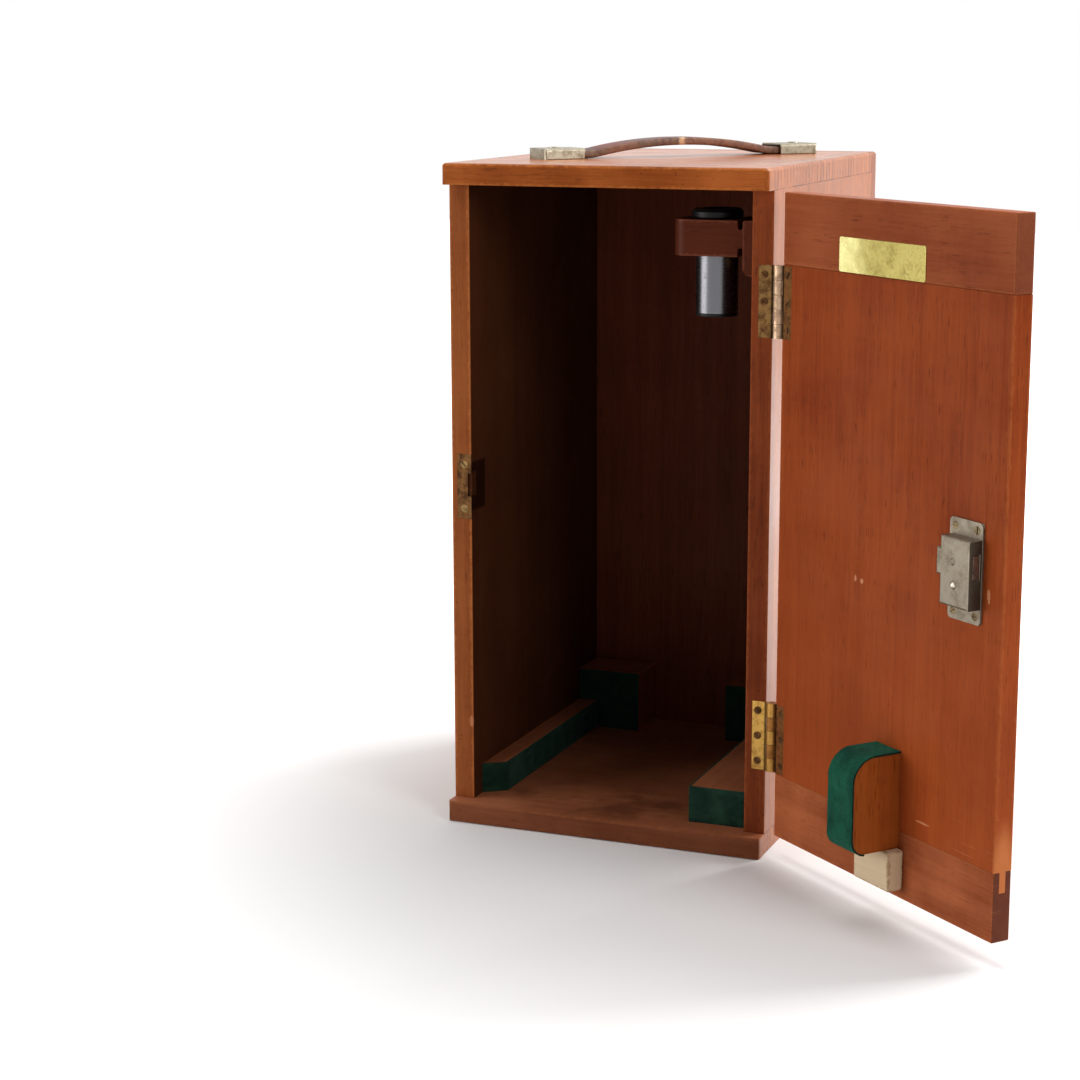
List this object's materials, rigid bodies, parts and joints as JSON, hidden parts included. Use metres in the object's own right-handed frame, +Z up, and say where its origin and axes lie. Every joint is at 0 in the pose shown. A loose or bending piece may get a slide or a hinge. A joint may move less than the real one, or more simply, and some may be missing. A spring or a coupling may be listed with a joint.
{
  "type": "microscope case",
  "caption": "Upright wooden instrument case with a hinged locking door, leather strap handle, baize-faced floor rails and a rack holding a spare eyepiece.",
  "frame": {"origin": "middle of the base board's underside, the face the case stands on", "axes": "+X to the right seen from the front, +Y from the door opening to the back, +Z up"},
  "size_m": [0.349, 0.3301, 0.391],
  "materials": {
    "mahogany": "satin varnish",
    "cleat_wood": "satin varnish",
    "pale_wood": "bare",
    "brass": "aged",
    "nickel": "aged nickel plate",
    "spring_steel": "plain",
    "leather": "worn",
    "baize": "felted wool",
    "bright_metal": "polished",
    "black_lacquer": "satin",
    "glass": "polished"
  },
  "bodies": {
    "case": {"top_board": "mahogany", "base_board": "mahogany", "left_side": "mahogany", "right_side": "mahogany", "back_panel": "mahogany", "back_screws": "brass", "handle_cap_left": "nickel", "handle_cap_right": "nickel", "handle_screws": "nickel", "upper_frame_leaf": "brass", "upper_hinge_pin": "brass", "lower_frame_leaf": "brass", "lower_hinge_pin": "brass", "frame_leaf_screws": "brass", "strike_plate": "brass", "strike_screws": "brass", "left_rail": "mahogany", "left_rail_baize": "baize", "right_rail": "mahogany", "right_rail_baize": "baize", "rear_left_block": "mahogany", "rear_left_baize": "baize", "rear_right_block": "mahogany", "rear_right_baize": "baize", "rack_plate": "mahogany", "rack_arm": "mahogany", "rack_screws": "brass"},
    "door": {"door_panel": "mahogany", "door_top_cleat": "cleat_wood", "door_bottom_cleat": "cleat_wood", "name_plate": "brass", "foot_block": "mahogany", "foot_block_baize": "baize", "packing_block": "pale_wood", "keyhole_plate": "brass", "keyhole_pins": "brass", "upper_door_leaf": "brass", "lower_door_leaf": "brass", "door_leaf_screws": "brass", "lock_plate": "nickel", "lock_case": "nickel", "lock_spring": "spring_steel", "lock_ward": "brass", "lock_pins": "nickel", "lock_screws": "brass"},
    "bolt": {"lock_bolt": "brass"},
    "strap": {"handle_strap": "leather"},
    "eyepiece": {"eyepiece_tube": "bright_metal", "eyepiece_cap": "black_lacquer", "eyepiece_field_ring": "black_lacquer", "eyepiece_stop": "black_lacquer", "eye_lens": "glass", "field_lens": "glass"}
  },
  "joints": [
    {"name": "door_hinge", "type": "hinge", "parent": "case", "child": "door", "pos_m": [0.0979, -0.0992, 0.19], "axis": [0, 0, 1], "range_deg": [-141, 54]},
    {"name": "bolt_slide", "type": "slide", "parent": "door", "child": "bolt", "axis": [0.7771, -0.6293, 0], "range_m": [0, 0.0075]},
    {"name": "strap_slide", "type": "slide", "parent": "case", "child": "strap", "axis": [0.682, 0.7314, 0], "range_m": [-0.002, 0.002]},
    {"name": "eyepiece_draw", "type": "slide", "parent": "case", "child": "eyepiece", "axis": [0, 1, 0], "range_m": [0, 0.045]}
  ]
}
